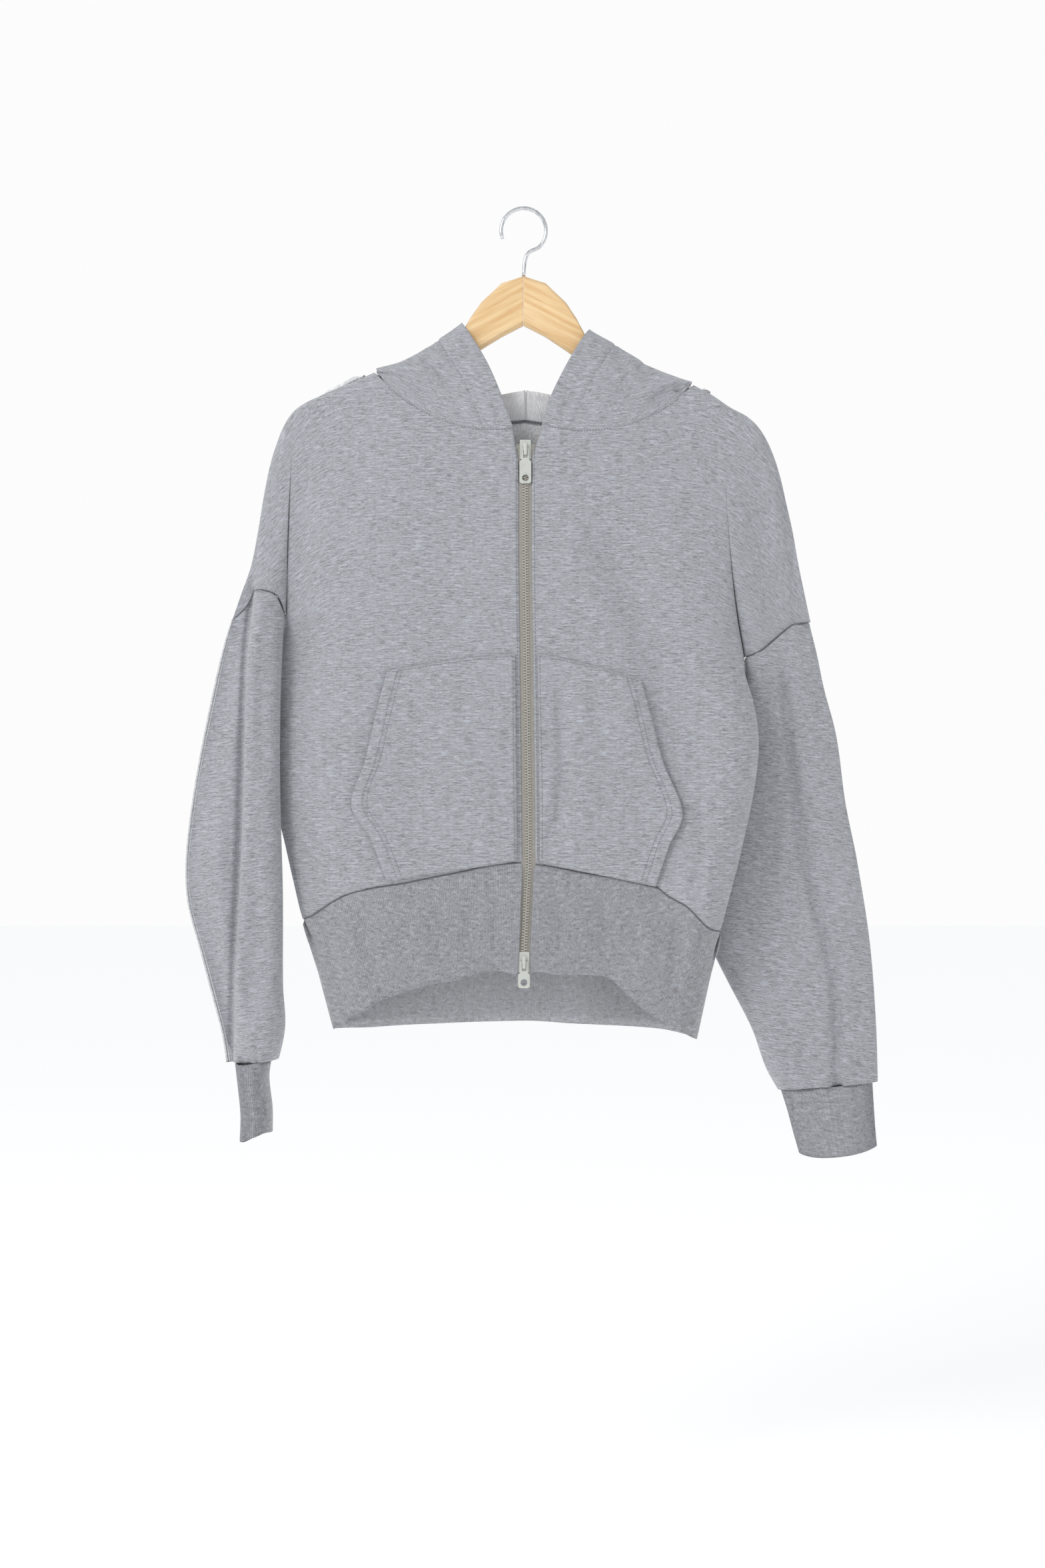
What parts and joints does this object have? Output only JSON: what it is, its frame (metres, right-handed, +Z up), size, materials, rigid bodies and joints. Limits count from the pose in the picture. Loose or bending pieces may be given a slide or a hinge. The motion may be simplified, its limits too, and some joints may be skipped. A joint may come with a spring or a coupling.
{
  "type": "zip-up hooded sweatshirt on a wooden clothes hanger",
  "caption": "Zip-up hoodie with a kangaroo pocket, rib cuffs and hem, hanging flat on a wooden clothes hanger with a wire hook.",
  "frame": {"origin": "inside top of the hook's bow, where a rail carries it", "axes": "+Z up, the garment's front faces -Y, +X to the viewer's right from the front"},
  "size_m": [0.6255, 0.0919, 0.8604],
  "materials": {
    "jersey": "heather grey brushed-back knit, matt",
    "rib": "heather grey rib knit, matt",
    "tape": "woven beige-grey zip tape",
    "painted_metal": "pale grey-green painted zip metal, satin",
    "wood": "pale clear-varnished wood",
    "chrome": "bright plated steel wire"
  },
  "bodies": {
    "garment": {"front_left": "jersey", "front_right": "jersey", "back": "jersey", "sleeve_left": "jersey", "sleeve_right": "jersey", "pocket_left": "jersey", "pocket_right": "jersey", "hood_left": "jersey", "hood_right": "jersey", "cuff_left": "rib", "cuff_right": "rib", "hem_band": "rib", "zip_tape_left": "tape", "zip_tape_right": "tape", "slider_top": "painted_metal", "slider_foot": "painted_metal", "hanger_arm_left": "wood", "hanger_arm_right": "wood", "hook": "chrome"},
    "pull_top_tab": {"pull_top": "painted_metal"},
    "pull_foot_tab": {"pull_foot": "painted_metal"}
  },
  "joints": [
    {"name": "pull_top_swing", "type": "hinge", "parent": "garment", "child": "pull_top_tab", "pos_m": [0.00154, -0.01854, -0.2196], "axis": [-1, 0, 0], "range_deg": [0, 150]},
    {"name": "pull_foot_swing", "type": "hinge", "parent": "garment", "child": "pull_foot_tab", "pos_m": [0.00024, -0.03915, -0.6775], "axis": [-1, 0, 0], "range_deg": [0, 150]}
  ]
}
